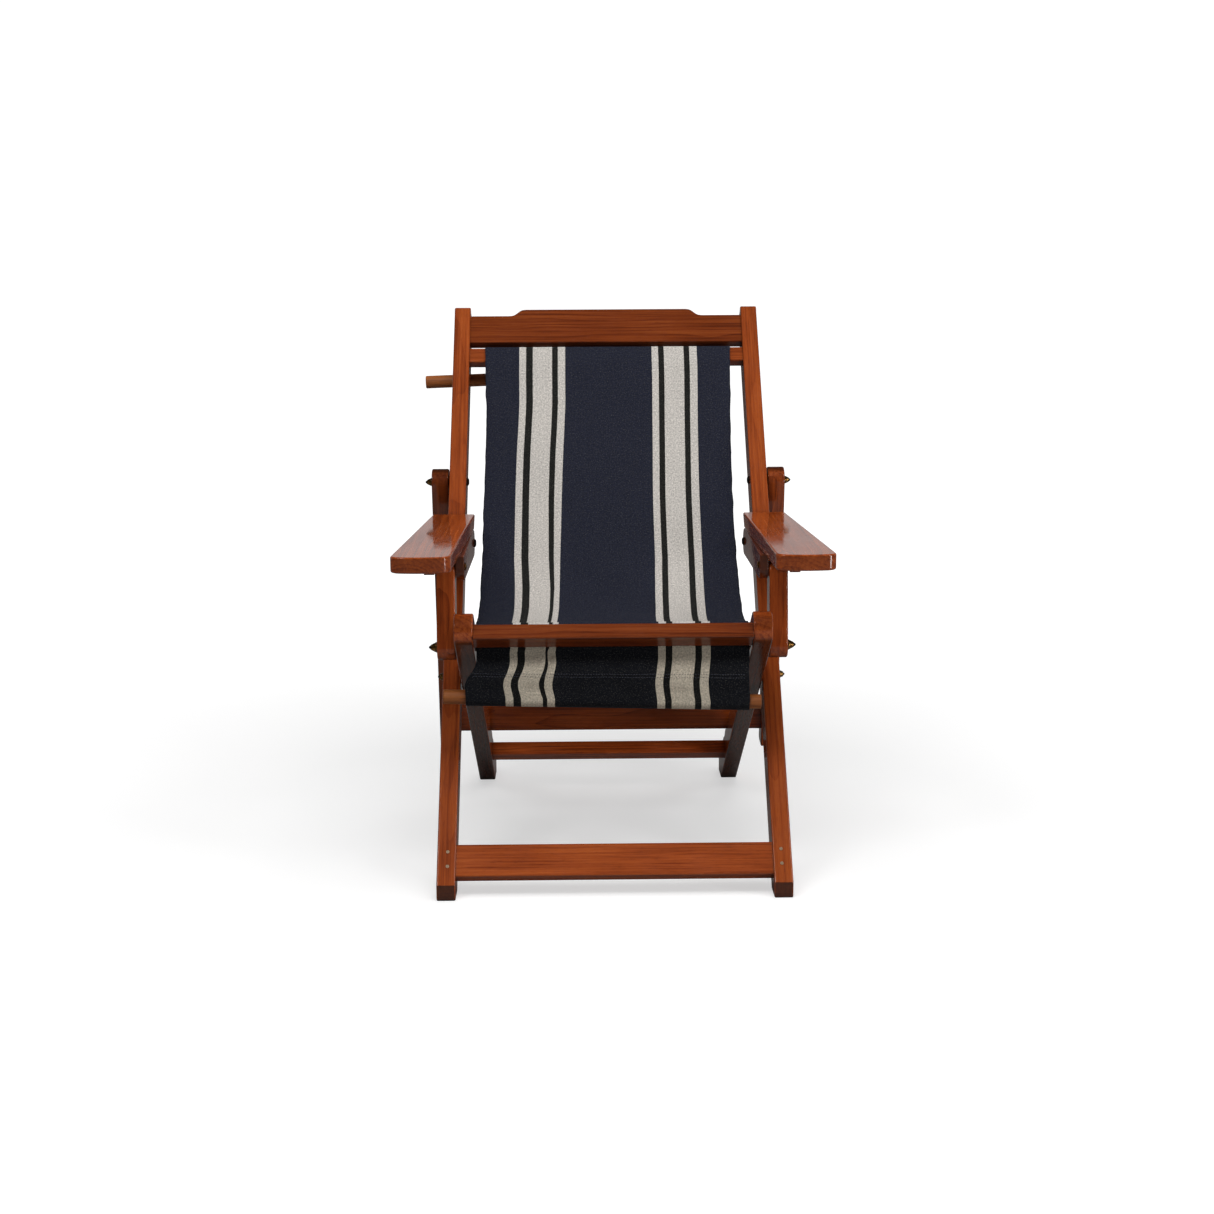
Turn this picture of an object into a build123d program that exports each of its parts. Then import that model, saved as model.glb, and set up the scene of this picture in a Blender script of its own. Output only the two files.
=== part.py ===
"""Folding deck chair with arms: crossed wooden frames, propped back and a loose canvas sling.

Millimetres, +Z up, +Y towards the back of the chair, X across it.  The chair is laid out
from the tips of the front toes (y = 0) on the floor, and moved on writing so that the
middle of its length stands over the origin.  Points in the side view are (y, z) pairs.
"""
from build123d import *
import math
import os

MIDDLE_Y = 398.85          # middle of the chair's length behind the front toes

# ---- driving dimensions ----
BACK_ANGLE = 50.7          # slope of the long back frame above the floor
SEAT_ANGLE = 31.5          # fall of the seat frame towards the rear feet
PROP_ANGLE = 9.3           # lean of the prop frame from the vertical
ARM_ANGLE = 0.965          # rise of the arm boards towards the back

# inner and outer faces of the right-hand pieces, across the chair
SEAT_X = (234.0, 266.0)    # seat leg
LONG_X = (268.0, 300.0)    # long stile and post
PROP_X = (302.0, 334.0)    # prop stile
BEARER_X = (252.0, 266.0)  # arm bearer
CLEAT_X = (302.0, 319.0)   # arm cleat

STILE_DEPTH = 55.0         # depth of the long stiles and the seat legs
HALF = STILE_DEPTH / 2
TOE = 27.7                 # height of the vertical cut at each toe
ROUND = 2.6                # softened long edges of the flat pieces
BOLT_R = 4.0
PLAY = 0.08                # radial play where a part turns on a bolt
TURN_R = BOLT_R + PLAY
SIDE = 0.2                 # sideways play of a turning part

SEAT_NOSE = (75.0, 449.0)  # centre of the rounded front end of a seat leg
POST_TOP = (163.0, 542.0)  # pin at the top of a post
POST_BOLT = 84.0           # post bolt, along the seat leg from its nose
ARM_BOLT = 684.5           # arm bolt, along the long stile
PROP_BOLT = 820.2          # prop bolt, along the long stile
ARM_LIFT = 27.0            # arm bolt to the underside of the arm board


# ---- sloping frames ----
class Frame:
    """Side-view frame: 'along' runs at the angle above +Y, 'off' is a quarter turn on."""

    def __init__(self, origin, angle):
        self.origin = origin
        self.cos = math.cos(math.radians(angle))
        self.sin = math.sin(math.radians(angle))
        self.plane = Plane(
            origin=(0, *origin), x_dir=(1, 0, 0), z_dir=(0, -self.sin, self.cos)
        )

    def point(self, along, off):
        y, z = self.origin
        return (
            y + along * self.cos - off * self.sin,
            z + along * self.sin + off * self.cos,
        )

    def local(self, point):
        """(along, off) of a side-view point."""
        y, z = point[0] - self.origin[0], point[1] - self.origin[1]
        return y * self.cos + z * self.sin, z * self.cos - y * self.sin

    def at_height(self, off, z):
        """Point at height z on the line 'off' from the frame's own line."""
        along = (z - self.point(0, off)[1]) / self.sin
        return self.point(along, off)[0], z


BACK = Frame((0, TOE), BACK_ANGLE)          # up the front face of the long stiles
SEAT = Frame(SEAT_NOSE, -SEAT_ANGLE)        # down the centre line of the seat legs
# where the centre lines of long stile and seat leg cross
CROSS_ALONG = -SEAT.local(BACK.point(0, -HALF))[1] / math.sin(
    math.radians(BACK_ANGLE + SEAT_ANGLE)
)
FRAME_PIVOT = BACK.point(CROSS_ALONG, -HALF)
ARM_PIVOT = BACK.point(ARM_BOLT, -HALF)
PROP_PIVOT = BACK.point(PROP_BOLT, -HALF)
POST_PIVOT = SEAT.point(POST_BOLT, 0)
PROP = Frame(PROP_PIVOT, PROP_ANGLE - 90)   # down the centre line of the prop stiles
ARM = Frame(Frame(ARM_PIVOT, ARM_ANGLE).point(0, ARM_LIFT), ARM_ANGLE)  # under the boards
POST = Frame(                               # up the centre line of the posts
    POST_PIVOT,
    math.degrees(math.atan2(POST_TOP[1] - POST_PIVOT[1], POST_TOP[0] - POST_PIVOT[0])),
)
PIN_ALONG = ARM.local(POST_TOP)[0]


# ---- helpers ----
def round_corner(face, corner, radius):
    vertex = min(
        face.vertices(), key=lambda v: (Vector(v.X, v.Y, v.Z) - Vector(*corner)).length
    )
    return face.fillet_2d(radius, [vertex])


def slab(points, span, rounds=None):
    """Flat piece: side-view outline across an x span, {corner index: radius} rounded."""
    face = Face(Wire.make_polygon([Vector(0, y, z) for y, z in points], close=True))
    for index, radius in (rounds or {}).items():
        face = round_corner(face, (0, *points[index]), radius)
    return Pos(span[0], 0, 0) * extrude(face, amount=span[1] - span[0], dir=(1, 0, 0))


def across(at, x):
    return Plane(origin=(x, *at), z_dir=(1, 0, 0))


def rod(at, span, radius):
    return Part() + Solid.make_cylinder(radius, span[1] - span[0], across(at, span[0]))


def cone(at, span, start_radius, end_radius):
    length = span[1] - span[0]
    return Part() + Solid.make_cone(start_radius, end_radius, length, across(at, span[0]))


def bore(at, span, radius):
    """Cutter for a hole right through an x span."""
    return rod(at, (span[0] - 1, span[1] + 1), radius)


def block(frame, span, alongs, offs):
    ranges = (span, alongs, offs)
    box = Box(*(high - low for low, high in ranges))
    return frame.plane * Pos(*((low + high) / 2 for low, high in ranges)) * box


def one(shape):
    """The largest solid, where a cut or a join leaves more than one."""
    shape = Part() + shape
    solids = shape.solids()
    return max(solids, key=lambda s: s.volume) if len(solids) > 1 else shape


def side_round(shape, span):
    """Softens the outline edges on the two broad faces of a flat piece."""
    edges = [
        e for e in shape.edges()
        if any(
            all(abs(v.X - x) < 1e-3 for v in e.vertices()) and abs(e.center().X - x) < 1e-3
            for x in span
        )
    ]
    return fillet(edges, ROUND)


def runs_across(edge):
    return abs(edge.tangent_at(0.5).X) > 0.999


def tenons(frame, half, joint):
    """Right and left tenon of a rail; the right one also cuts its mortise."""
    length, alongs, offs = joint
    spans = ((half, half + length), (-half - length, -half))
    return [block(frame, span, alongs, offs) for span in spans]


def with_tenons(shape, frame, half, joint):
    for tenon in tenons(frame, half, joint):
        shape = shape + tenon
    return shape


def rail(frame, half, alongs, offs, radius, joint):
    """Straight rail between the sides, its long edges softened, with its tenons."""
    bar = block(frame, (-half, half), alongs, offs)
    bar = fillet([e for e in bar.edges() if runs_across(e) and e.length > 60], radius)
    return with_tenons(bar, frame, half, joint)


def left_of(shape):
    return mirror(shape, about=Plane.YZ)


def solids_of(shape):
    return [Solid(s.wrapped) for s in shape.solids()]


def both(shape):
    return Compound(children=[*solids_of(shape), *solids_of(left_of(shape))])


def straight(*points):
    """Straight edges from point to point."""
    return [Edge(Line(start, end).wrapped) for start, end in zip(points, points[1:])]


# ---- long frame ----
LONG_STILE = 1215.0            # front face of a long stile, toe to top
CREST_BOTTOM = 1130.0          # lower edge of the crest rail, along the stile
CREST = 1211.0                 # raised middle of the crest rail
SHOULDER = 1195.5              # shoulders of the crest rail
CREST_CURVE_X = (156.0, 194.0)  # upper and lower end of the curve between them
RAIL_T = 20.0                  # thickness of the crest and slot rails
RAIL_FRONT = -3.0              # the rails are set back from the front of the stiles
RAIL_BACK = RAIL_FRONT - RAIL_T
FOOT_RAIL_BACK = RAIL_FRONT - 24.0
CHEEK = 4.0                    # rail face to tenon face
BACK_TENON = 20.0
SCREW_ALONG = (34.0, 60.0)     # screws through the stile into the foot rail's tenons
SCREW_X = 282.0
SCREW_R, SCREW_LONG = 2.8, 15.0

RAIL_OFFS = (RAIL_BACK, RAIL_FRONT)
TENON_OFFS = (RAIL_BACK + CHEEK, RAIL_FRONT - CHEEK)
FOOT_TENON_OFFS = (FOOT_RAIL_BACK + CHEEK, RAIL_FRONT - CHEEK)
# tenons: length, along range, off range
CREST_JOINT = (BACK_TENON, (1136.0, 1184.0), TENON_OFFS)
SLOT_JOINT = (BACK_TENON, (1088.0, 1111.0), TENON_OFFS)
FOOT_JOINT = (BACK_TENON, (24.0, 68.0), FOOT_TENON_OFFS)


def screw_spots(sides, off):
    return [Pos(side * SCREW_X, along, off) for side in sides for along in SCREW_ALONG]


def cut_screw_holes(shape, sides):
    for spot in screw_spots(sides, -SCREW_LONG / 2 + 0.5):
        shape = shape - BACK.plane * spot * Cylinder(SCREW_R, SCREW_LONG + 1)
    return shape


def long_stile():
    outline = [
        (0, 0),
        (0, TOE),
        BACK.point(LONG_STILE, 0),
        BACK.point(LONG_STILE, -STILE_DEPTH),
        BACK.at_height(-STILE_DEPTH, 0),
    ]
    stile = side_round(slab(outline, LONG_X, {2: 3.5, 3: 5, 0: 3}), LONG_X)
    for joint in (CREST_JOINT, SLOT_JOINT, FOOT_JOINT):
        stile = stile - tenons(BACK, LONG_X[0], joint)[0]
    stile = cut_screw_holes(stile, (1,))
    for at in (FRAME_PIVOT, ARM_PIVOT, PROP_PIVOT):
        stile = stile - bore(at, LONG_X, BOLT_R)
    return stile


def crest_curve(side):
    """Double curve from shoulder to raised middle, as two edges."""
    inner, outer = CREST_CURVE_X
    x, y = (inner + outer) / 2, (SHOULDER + CREST) / 2
    halves = (
        ((outer, SHOULDER), (x + 6, SHOULDER), (x + 5, y - 4), (x, y)),
        ((x, y), (x - 5, y + 4), (x - 6, CREST), (inner, CREST)),
    )
    return [Edge(Bezier(*((side * px, py) for px, py in half)).wrapped) for half in halves]


def crest_rail():
    """Raised middle joined to lower shoulders by double curves."""
    end = LONG_X[0]
    inner, outer = CREST_CURVE_X
    wire = Wire(
        straight((-end, CREST_BOTTOM), (end, CREST_BOTTOM), (end, SHOULDER), (outer, SHOULDER))
        + crest_curve(1)
        + straight((inner, CREST), (-inner, CREST))
        + crest_curve(-1)[::-1]
        + straight((-outer, SHOULDER), (-end, SHOULDER), (-end, CREST_BOTTOM))
    )
    crest = extrude(Face(wire), amount=RAIL_T)
    # outline edges of the front and back faces, without those at the two ends
    edges = [
        e for e in crest.edges()
        if abs(e.tangent_at(0.5).Z) < 0.5 and not abs(abs(e.center().X) - end) < 1e-3
    ]
    crest = fillet(edges, 2.2)
    crest = BACK.plane * Pos(0, 0, RAIL_BACK) * crest
    return with_tenons(crest, BACK, end, CREST_JOINT)


def slot_rail():
    """Lower edge of the slot that the canvas passes through."""
    return rail(BACK, LONG_X[0], (1083.0, 1116.0), RAIL_OFFS, 2.4, SLOT_JOINT)


def front_foot_rail():
    offs = (FOOT_RAIL_BACK, RAIL_FRONT)
    bar = rail(BACK, LONG_X[0], (17.0, 74.5), offs, 2.4, FOOT_JOINT)
    return cut_screw_holes(bar, (-1, 1))


def foot_rail_screws():
    body = Cylinder(SCREW_R, SCREW_LONG)
    cap = Pos(0, 0, SCREW_LONG / 2 + 0.4) * Cylinder(SCREW_R, 0.8)
    slit = Pos(0, 0, SCREW_LONG / 2 + 0.6) * Box(0.9, 7, 1.0)
    screw = (body + cap) - slit
    solids = []
    for spot in screw_spots((-1, 1), -SCREW_LONG / 2):
        solids += solids_of(BACK.plane * spot * screw)
    return Compound(children=solids)


# ---- bolts, nuts and washers ----
HEAD_R = 7.5
HEAD_RIM, HEAD_TOTAL = 2.0, 3.8    # straight rim and whole height of a bolt head
POINT = 3.5                        # length of the tapered bolt end
NUT_RIM = 2.4                      # straight base of a nut
NUT_TIP_R = 4.6

# name: pivot, bolt from head to tip, nut (x, length, radius), washer (span, radius, hole)
PIVOTS = {
    "frame": (
        FRAME_PIVOT, (SEAT_X[0] - SIDE, LONG_X[1] + 11), (LONG_X[1], 8, 7.0),
        ((SEAT_X[1] + SIDE, LONG_X[0]), 12, TURN_R),
    ),
    "prop": (
        PROP_PIVOT, (LONG_X[0], PROP_X[1] + 13), (PROP_X[1] + SIDE, 9, 7.5),
        ((LONG_X[1], PROP_X[0] - SIDE), 12, BOLT_R),
    ),
    "arm": (
        ARM_PIVOT, (BEARER_X[0] - SIDE, LONG_X[1] + 9), (LONG_X[1], 6.5, 7.0),
        ((BEARER_X[1] + SIDE, LONG_X[0]), 10, BOLT_R),
    ),
    "post": (
        POST_PIVOT, (SEAT_X[0], LONG_X[1] + 15), (LONG_X[1] + SIDE, 11, 9.0),
        ((SEAT_X[1], LONG_X[0] - SIDE), 12, BOLT_R),
    ),
}


def bolt(at, head_x, tip_x):
    """Right-hand bolt: domed head towards the middle, pointed end outwards."""
    rim_x = head_x - HEAD_RIM
    head = rod(at, (rim_x, head_x), HEAD_R)
    head = head + cone(at, (head_x - HEAD_TOTAL, rim_x), HEAD_R * 0.62, HEAD_R)
    shank = rod(at, (head_x, tip_x - POINT), BOLT_R)
    return head + shank + cone(at, (tip_x - POINT, tip_x), BOLT_R, 1.2)


def nut(at, start, length, radius):
    """Right-hand nut, tapering outwards."""
    end = start + length
    base = rod(at, (start, start + NUT_RIM), radius)
    body = cone(at, (start + NUT_RIM, end), radius, NUT_TIP_R)
    return (base + body) - bore(at, (start, end), BOLT_R)


def washer(at, span, radius, hole):
    return rod(at, span, radius) - bore(at, span, hole)


# ---- seat frame ----
NOTCH_PITCH = 52.0
NOTCH_AT = 630.0               # notch in use, along the seat leg from its nose
NOTCH_STEPS = (-2, -1, 0, 1)   # notches counted from the one in use
NOTCH_R = 40.0
NOTCH_DEEP = 6.5
SEAT_TENON = 22.0
# name: along range, off range, edge radius, tenon (length, along range, off range)
SEAT_RAILS = {
    "front_crossbar": (
        (-20.0, 25.0), (-23.5, 2.5), 3.2, (SEAT_TENON, (-9.0, 18.0), (-19.0, -3.0)),
    ),
    "seat_slot_rail": (
        (39.0, 69.0), (0.5, 26.5), 6.0, (SEAT_TENON, (43.0, 65.0), (5.0, 20.0)),
    ),
    "rear_stretcher": (
        (681.0, 723.0), (-13.0, 13.0), 2.6, (SEAT_TENON, (687.0, 717.0), (-8.0, 8.0)),
    ),
}


def seat_leg():
    rear_top = SEAT.at_height(HALF, TOE)
    outline = [
        SEAT.point(0, -HALF),
        SEAT.point(0, HALF),
        rear_top,
        (rear_top[0], 0.0),
        SEAT.at_height(-HALF, 0.0),
    ]
    leg = slab(outline, SEAT_X, {3: 4}) + rod(SEAT_NOSE, SEAT_X, HALF)
    leg = side_round(one(leg.clean()), SEAT_X)
    for *_, joint in SEAT_RAILS.values():
        leg = leg - tenons(SEAT, SEAT_X[0], joint)[0]
    for step in NOTCH_STEPS:
        at = SEAT.point(NOTCH_AT + step * NOTCH_PITCH, HALF + NOTCH_R - NOTCH_DEEP)
        leg = leg - bore(at, SEAT_X, NOTCH_R)
    leg = leg - bore(FRAME_PIVOT, SEAT_X, TURN_R)
    leg = leg - bore(POST_PIVOT, SEAT_X, BOLT_R)
    return one(leg)


# ---- prop frame ----
PROP_HALF_DEPTH = 25.0
PROP_REACH = 545.0             # prop bolt to the end of the prop stile
PROP_RAIL_R = 11.0             # half thickness, and radius of the rounded lower edge
PROP_RAIL_H = 57.0
NOTCH_GAP = 0.3                # rail's rounded edge to the bottom of the notch
# centre of the rounded edge, which sits in the notch in use
PROP_EDGE = SEAT.point(NOTCH_AT, HALF - NOTCH_DEEP + PROP_RAIL_R + NOTCH_GAP)
EDGE_ALONG, EDGE_OFF = PROP.local(PROP_EDGE)
PROP_RAIL_TOP = EDGE_ALONG - PROP_RAIL_H + PROP_RAIL_R
PROP_JOINT = (22.0, (PROP_RAIL_TOP + 7, EDGE_ALONG - 3), (EDGE_OFF - 6, EDGE_OFF + 6))


def prop_stile():
    half = PROP_HALF_DEPTH
    corners = ((0, -half), (0, half), (PROP_REACH, half), (PROP_REACH, -half))
    outline = [PROP.point(*corner) for corner in corners]
    stile = slab(outline, PROP_X, {2: 9, 3: 9}) + rod(PROP_PIVOT, PROP_X, half)
    stile = side_round(one(stile.clean()), PROP_X)
    stile = stile - tenons(PROP, PROP_X[0], PROP_JOINT)[0]
    return stile - bore(PROP_PIVOT, PROP_X, TURN_R)


def prop_rail():
    span = (-PROP_X[0], PROP_X[0])
    offs = (EDGE_OFF - PROP_RAIL_R, EDGE_OFF + PROP_RAIL_R)
    bar = block(PROP, span, (PROP_RAIL_TOP, EDGE_ALONG), offs)
    bar = one((bar + rod(PROP_EDGE, span, PROP_RAIL_R)).clean())
    top_z = PROP_EDGE[1] + PROP_RAIL_H * 0.6
    bar = fillet([e for e in bar.edges() if runs_across(e) and e.center().Z > top_z], 3.0)
    return with_tenons(bar, PROP, PROP_X[0], PROP_JOINT)


# ---- arms ----
BOARD_T = 27.0
BOARD_REAR, BOARD_FRONT = 12.0, -471.5     # ends of the board, along the arm
REAR_IN, REAR_OUT = 250.0, 327.5           # sides of the board at its rear end
FRONT_IN, FRONT_OUT = 264.5, 364.0         # and at its front end
BOW = 7.0                                  # bulge of the front end
POST_HALF_DEPTH = 22.0
POST_OVER = 6.5                            # post above its top pin


def arm_board():
    corner_y = BOARD_FRONT + BOW
    front_middle = ((FRONT_IN + FRONT_OUT) / 2, BOARD_FRONT)
    arc = ThreePointArc((FRONT_OUT, corner_y), front_middle, (FRONT_IN, corner_y))
    face = Face(Wire(
        straight((REAR_IN, BOARD_REAR), (REAR_OUT, BOARD_REAR), (FRONT_OUT, corner_y))
        + [Edge(arc.wrapped)]
        + straight((FRONT_IN, corner_y), (REAR_IN, BOARD_REAR))
    ))
    face = round_corner(face, (FRONT_OUT, BOARD_FRONT, 0), 18.0)
    face = round_corner(face, (FRONT_IN, BOARD_FRONT, 0), 20.0)
    face = round_corner(face, (REAR_OUT, BOARD_REAR, 0), 14.0)
    board = ARM.plane * extrude(face, amount=BOARD_T, dir=(0, 0, 1))
    # rear end stays clear of the front of the long stile
    board = one(board - block(BACK, (0, 500), (0, 1300), (-400, 1.4)))
    rim = [
        e for e in board.edges()
        if e.length > 10 and abs(e.tangent_at(0.5).dot(ARM.plane.z_dir)) < 0.5
    ]
    # guards against the full rounding failing where the rear cut meets the corners
    try:
        return fillet(rim, 5.0)
    except Exception:
        return fillet(rim, 3.0)


def arm_bearer():
    front = PIN_ALONG - 20
    corners = ((front, 0), (front, -42), (0, -51), (0, -4), (-16, 0))
    bearer = slab([ARM.point(*corner) for corner in corners], BEARER_X, {1: 15})
    bearer = one((bearer + rod(ARM_PIVOT, BEARER_X, 24.0)).clean())
    return bearer - bore(ARM_PIVOT, BEARER_X, TURN_R) - bore(POST_TOP, BEARER_X, BOLT_R)


def arm_cleat():
    front, rear, bottom = PIN_ALONG - 42, PIN_ALONG + 70, -28
    corners = ((front, 0), (front, bottom), (rear, bottom), (rear, 0))
    return slab([ARM.point(*corner) for corner in corners], CLEAT_X, {1: 9, 2: 9})


def arm_pin():
    inner = BEARER_X[0]
    shank = rod(POST_TOP, BEARER_X, BOLT_R)
    head = rod(POST_TOP, (inner - 1.6, inner), 6.5)
    return shank + head + cone(POST_TOP, (inner - 3.0, inner - 1.6), 4.2, 6.5)


def arm_post():
    half = POST_HALF_DEPTH
    top = math.dist(POST_PIVOT, POST_TOP) + POST_OVER
    outline = [POST.point(*c) for c in ((0, -half), (top, -half), (top, half), (0, half))]
    post = slab(outline, LONG_X, {1: 15, 2: 20}) + rod(POST_PIVOT, LONG_X, half)
    post = side_round(one(post.clean()), LONG_X)
    return post - bore(POST_PIVOT, LONG_X, TURN_R) - bore(POST_TOP, LONG_X, TURN_R)


# ---- canvas and its rods ----
CANVAS = 2.4                   # thickness of the canvas
BACK_HALF = 240.0              # half width of the canvas in the back
SEAT_CLOTH_HALF = 231.0        # half width where it passes between the legs
ROD_R = 12.5
ROD_LEN = 539.0
LOOP_R = ROD_R + 0.3           # inside radius of the canvas loop round a rod
SHEET_SET = ROD_R + 1.3        # rod's axis to the middle of the sheet in front of it
HEM_PUSH = -9.0                # the hem is pushed along its rod
HINGE = SEAT.point(32.0, -26.0)  # where the front end of the sling hangs from

TOP_ROD_X = -359.0             # left end of the top rod
TOP_ROD_AT = (750.0, 833.5)
TOP_ROD_TILT = 2.0             # degrees, right end up
FRONT_ROD_X = -288.0           # left end of the front rod
FRONT_ROD_AT = (HINGE[0] + 2.0, HINGE[1] - 86.0)
FRONT_ROD_TILT = -1.4

# sling below the back rails, then over the seat to the slot rail
BACK_SAG = [BACK.point(1080, -1.0), (618, 757), (546, 646), (490, 571), (437, 511)]
SEAT_SAG = [(437, 509.0), (360, 456), (285, 435), (215, 432.5), SEAT.point(78, 26.5)]
# over the seat slot rail and down in front of it: (along, off) in the seat frame
SEAT_WRAP = [
    (78, 26.5), (66, 28.8), (50, 28.8), (39.0, 28.0),
    (34.5, 20.0), (33.5, 8.0), (32.6, -8.0), (32.0, -24.0),
]


def strip(points, half):
    """A thin sheet following a smooth line in the middle plane of the chair."""
    line = Spline(*[(0, y, z) for y, z in points])
    count = max(24, 4 * len(points))
    stations = [line @ (i / count) for i in range(count + 1)]
    one_side, other_side = [], []
    for i, here in enumerate(stations):
        before = stations[max(i - 1, 0)]
        after = stations[min(i + 1, count)]
        y, z = after.Y - before.Y, after.Z - before.Z
        scale = CANVAS / 2 / math.hypot(y, z)
        one_side.append((here.Y - z * scale, here.Z + y * scale))
        other_side.append((here.Y + z * scale, here.Z - y * scale))
    return slab(one_side + other_side[::-1], (-half, half))


def loop(at):
    span = (-BACK_HALF, BACK_HALF)
    return rod(at, span, LOOP_R + CANVAS) - bore(at, span, LOOP_R)


def rod_space(at):
    return rod(at, (-400, 400), LOOP_R)


def tilted(at, angle):
    """Turns a rod and its loop about the point on the chair's middle plane."""
    return Pos(0, *at) * Rot(0, -angle, 0) * Pos(0, -at[0], -at[1])


def canvas_rod(at, left_x, angle):
    shape = rod(at, (left_x, left_x + ROD_LEN), ROD_R)
    shape = fillet(shape.edges().filter_by(GeomType.CIRCLE), 1.5)
    return tilted(at, angle) * shape


def canvas_back(slot, crest):
    """Loop round the top rod, up and forwards through the slot, then down the back."""
    y, z = TOP_ROD_AT[0] - SHEET_SET, TOP_ROD_AT[1]
    flap = strip([(y, z), (y - 0.4, z + 12), (y - 4.7, z + 26)], BACK_HALF)
    flap = flap + loop(TOP_ROD_AT) - rod_space(TOP_ROD_AT)
    rear_y, rear_z = BACK.point(1118.5, RAIL_BACK - 2.2)
    front_y, front_z = BACK.point(1119.5, RAIL_FRONT + 2.0)
    over = [
        (y - 0.4, z + 12),
        (rear_y + 1.0, rear_z - 9),
        (rear_y - 2.0, rear_z + 3.5),
        BACK.point(1119.5, -13),
        (front_y, front_z + 0.5),
        BACK.point(1108, 1.0),
        BACK_SAG[0],
    ]
    sheet = tilted(TOP_ROD_AT, TOP_ROD_TILT) * flap
    sheet = sheet + strip(over, BACK_HALF) + strip(BACK_SAG, BACK_HALF)
    return one(sheet - slot - crest)


def canvas_seat(slot, crossbar):
    wrap = [SEAT.point(*spot) for spot in SEAT_WRAP]
    sheet = strip(SEAT_SAG, SEAT_CLOTH_HALF) + strip(wrap, SEAT_CLOTH_HALF)
    return one(sheet - slot - crossbar)


def canvas_front_hem():
    """Hanging front end of the sling with the loop round the front rod."""
    tilt = tilted(FRONT_ROD_AT, FRONT_ROD_TILT)
    y, z = HINGE
    rod_y, rod_z = FRONT_ROD_AT[0] - SHEET_SET, FRONT_ROD_AT[1]
    line = [(y, z - 8.0), (y - 3, z - 30), (rod_y - 0.5, rod_z + 22), (rod_y, rod_z)]
    hem = Pos(HEM_PUSH, 0, 0) * (strip(line, BACK_HALF) + tilt * loop(FRONT_ROD_AT))
    return one(hem - tilt * rod_space(FRONT_ROD_AT))


# ---- all pieces ----
def build():
    parts = {}
    for make in (
        long_stile, seat_leg, prop_stile, arm_board, arm_bearer, arm_cleat, arm_pin, arm_post
    ):
        right = make()
        parts[f"right_{make.__name__}"] = right
        parts[f"left_{make.__name__}"] = left_of(right)
    for make in (crest_rail, slot_rail, front_foot_rail, foot_rail_screws, prop_rail):
        parts[make.__name__] = make()
    for name, (at, bolt_ends, nut_sizes, washer_sizes) in PIVOTS.items():
        parts[f"{name}_pivot_bolts"] = both(bolt(at, *bolt_ends))
        parts[f"{name}_pivot_nuts"] = both(nut(at, *nut_sizes))
        parts[f"{name}_pivot_washers"] = both(washer(at, *washer_sizes))
    for name, sizes in SEAT_RAILS.items():
        parts[name] = rail(SEAT, SEAT_X[0], *sizes)
    parts["canvas_back"] = canvas_back(parts["slot_rail"], parts["crest_rail"])
    parts["canvas_seat"] = canvas_seat(parts["seat_slot_rail"], parts["front_crossbar"])
    parts["canvas_front_hem"] = canvas_front_hem()
    parts["top_canvas_rod"] = canvas_rod(TOP_ROD_AT, TOP_ROD_X, TOP_ROD_TILT)
    parts["front_canvas_rod"] = canvas_rod(FRONT_ROD_AT, FRONT_ROD_X, FRONT_ROD_TILT)
    return parts


os.makedirs("parts", exist_ok=True)
for name, shape in build().items():
    solids = solids_of(shape if isinstance(shape, Compound) else Part() + shape)
    piece = solids[0] if len(solids) == 1 else Compound(children=solids)
    export_step(Pos(0, -MIDDLE_Y, 0) * piece, f"parts/{name}.step")
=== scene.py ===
# Folding wooden armchair with a striped canvas sling hung between a back rail and a seat rail.
# X runs across the chair, -Y is the front and +Z is up, with the floor at z = 0.
# Shapes are laid out in mm with y measured from the front toes; to_metres() moves them into
# the frame. Shaders, lights and the stage are in metres.
import math

import bpy
import numpy as np
from mathutils import Matrix, Vector


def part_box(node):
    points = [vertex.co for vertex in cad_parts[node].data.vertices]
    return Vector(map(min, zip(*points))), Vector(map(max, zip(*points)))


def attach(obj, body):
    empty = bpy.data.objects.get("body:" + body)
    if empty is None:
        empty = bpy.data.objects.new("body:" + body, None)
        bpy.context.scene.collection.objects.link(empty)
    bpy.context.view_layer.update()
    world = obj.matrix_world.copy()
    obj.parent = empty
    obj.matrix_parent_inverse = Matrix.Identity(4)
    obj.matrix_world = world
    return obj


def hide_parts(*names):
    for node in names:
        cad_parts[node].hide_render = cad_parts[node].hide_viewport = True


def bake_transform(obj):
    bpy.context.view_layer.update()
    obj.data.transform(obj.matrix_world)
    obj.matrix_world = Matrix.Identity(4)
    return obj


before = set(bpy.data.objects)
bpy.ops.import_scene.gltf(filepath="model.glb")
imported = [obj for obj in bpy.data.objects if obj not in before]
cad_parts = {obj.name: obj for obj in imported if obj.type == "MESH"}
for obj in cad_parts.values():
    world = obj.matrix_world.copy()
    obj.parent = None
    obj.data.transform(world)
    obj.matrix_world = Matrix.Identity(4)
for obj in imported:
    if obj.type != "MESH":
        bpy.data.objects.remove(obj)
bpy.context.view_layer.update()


# ------------------------------------------------------------------ driving dimensions (mm)
BACK_DEG = 50.7                     # long stiles, above the horizontal
SEAT_DEG = 31.5                     # seat legs, falling towards the rear
PROP_DEG = 9.3                      # prop stiles, off the vertical
ARM_DEG = 0.965                     # arms, rising towards the rear
TOE_Z = 27.7                        # height at which the long stile line meets y = 0
NOSE_Y, NOSE_Z = 75.0, 449.0        # front end of the seat line
TOP_Y, TOP_Z = 750.0, 833.5         # centre of the top canvas rod
TOP_TILT_DEG = 2.0
FRONT_Y, FRONT_Z = 90.700, 324.111  # centre of the front canvas rod
FRONT_TILT_DEG = -1.4
HINGE_Y, HINGE_Z = 88.700, 410.111  # where the front hem starts to hang free
ROD_R = 12.5
LOOP_R = ROD_R + 1.3                # canvas loop round a rod
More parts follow.
